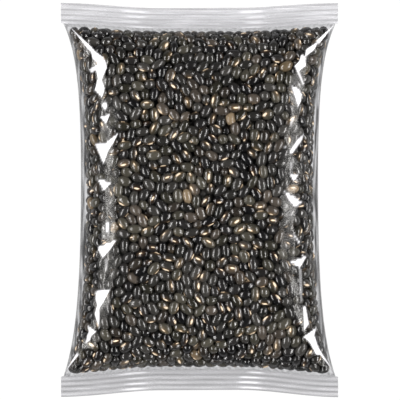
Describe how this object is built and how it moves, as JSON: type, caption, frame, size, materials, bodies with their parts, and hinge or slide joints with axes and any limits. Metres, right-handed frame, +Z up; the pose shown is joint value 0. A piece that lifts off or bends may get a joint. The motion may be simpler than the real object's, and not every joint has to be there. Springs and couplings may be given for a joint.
{
  "type": "bag of dried beans",
  "caption": "Clear pillow bag of small dried black beans, lying on its back, with flared corners and a ribbed heat seal across each end.",
  "frame": {"origin": "on the surface that the bag lies on, under the middle of the bag", "axes": "+X across the bag, +Y along it towards the top end seal, +Z up out of the side that shows"},
  "size_m": [0.1, 0.1422, 0.0329],
  "materials": {
    "black_beans_in_clear_film": "glossy clear film close over small satin black beans",
    "clear_film": "glossy, thin and clear, milky where it is heat sealed",
    "black_beans": "dry seed coat, satin, charcoal black with some olive and brown beans"
  },
  "bodies": {
    "root": {"bean_bag": "black_beans_in_clear_film"}
  },
  "joints": []
}
